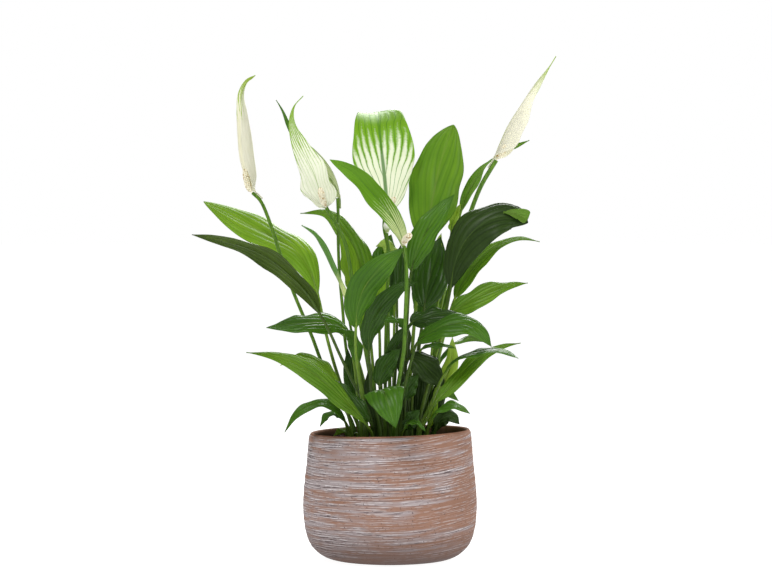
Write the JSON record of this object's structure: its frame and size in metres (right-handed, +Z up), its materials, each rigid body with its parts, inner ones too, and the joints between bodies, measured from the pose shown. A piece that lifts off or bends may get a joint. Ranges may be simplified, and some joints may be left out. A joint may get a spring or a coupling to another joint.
{
  "type": "potted peace lily",
  "caption": "Potted peace lily: lance-shaped green leaves and pale hooded flower heads on thin upright stems, standing in soil in a round combed clay pot.",
  "frame": {"origin": "centre of the pot's flat foot, on the floor", "axes": "+Z up from the floor to the tops of the flower heads, -Y towards the side the picture shows, +X to the right in the picture"},
  "size_m": [0.3071, 0.2246, 0.429],
  "materials": {
    "leaf_fresh": "satin",
    "leaf_green": "satin",
    "leaf_deep": "satin",
    "leaf_olive": "satin",
    "stalk_green": "satin",
    "spathe_ivory": "satin",
    "spathe_green": "satin",
    "spadix_cream": "matte",
    "pot_clay": "matte",
    "potting_soil": "matte"
  },
  "bodies": {
    "root": {"pot": "pot_clay", "soil": "potting_soil", "bloom_1_spadix": "spadix_cream", "bloom_1_spathe": "spathe_ivory", "bloom_1_stalk": "stalk_green", "bloom_2_spadix": "spadix_cream", "bloom_2_spathe": "spathe_ivory", "bloom_2_stalk": "stalk_green", "bloom_3_spathe": "spathe_green", "bloom_3_stalk": "stalk_green", "bloom_4_spadix": "spadix_cream", "bloom_4_spathe": "spathe_ivory", "bloom_4_stalk": "stalk_green", "bloom_5_spadix": "spadix_cream", "bloom_5_spathe": "spathe_green", "bloom_5_stalk": "stalk_green", "bloom_6_spadix": "spadix_cream", "bloom_6_spathe": "spathe_green", "bloom_6_stalk": "stalk_green", "bud": "spathe_ivory", "bud_stalk": "stalk_green", "leaf_centre_1": "leaf_fresh", "leaf_centre_2": "leaf_deep", "leaf_centre_3": "leaf_deep", "leaf_centre_4": "leaf_green", "leaf_front_1": "leaf_deep", "leaf_front_2": "leaf_green", "leaf_front_3": "leaf_deep", "leaf_front_4": "leaf_fresh", "leaf_front_5": "leaf_deep", "leaf_front_6": "leaf_green", "leaf_front_7": "leaf_deep", "leaf_front_8": "leaf_deep", "leaf_left_1": "leaf_fresh", "leaf_left_10": "leaf_green", "leaf_left_2": "leaf_olive", "leaf_left_3": "leaf_green", "leaf_left_4": "leaf_green", "leaf_left_5": "leaf_green", "leaf_left_6": "leaf_green", "leaf_left_7": "leaf_deep", "leaf_left_8": "leaf_fresh", "leaf_left_9": "leaf_green", "leaf_right_1": "leaf_deep", "leaf_right_10": "leaf_deep", "leaf_right_11": "leaf_green", "leaf_right_12": "leaf_deep", "leaf_right_13": "leaf_green", "leaf_right_2": "leaf_green", "leaf_right_3": "leaf_green", "leaf_right_4": "leaf_deep", "leaf_right_5": "leaf_deep", "leaf_right_6": "leaf_fresh", "leaf_right_7": "leaf_green", "leaf_right_8": "leaf_fresh", "leaf_right_9": "leaf_deep", "rolled_bloom": "spathe_green", "shoot_back_1": "leaf_green", "shoot_back_2": "leaf_green", "shoot_back_3": "leaf_green"}
  },
  "joints": []
}
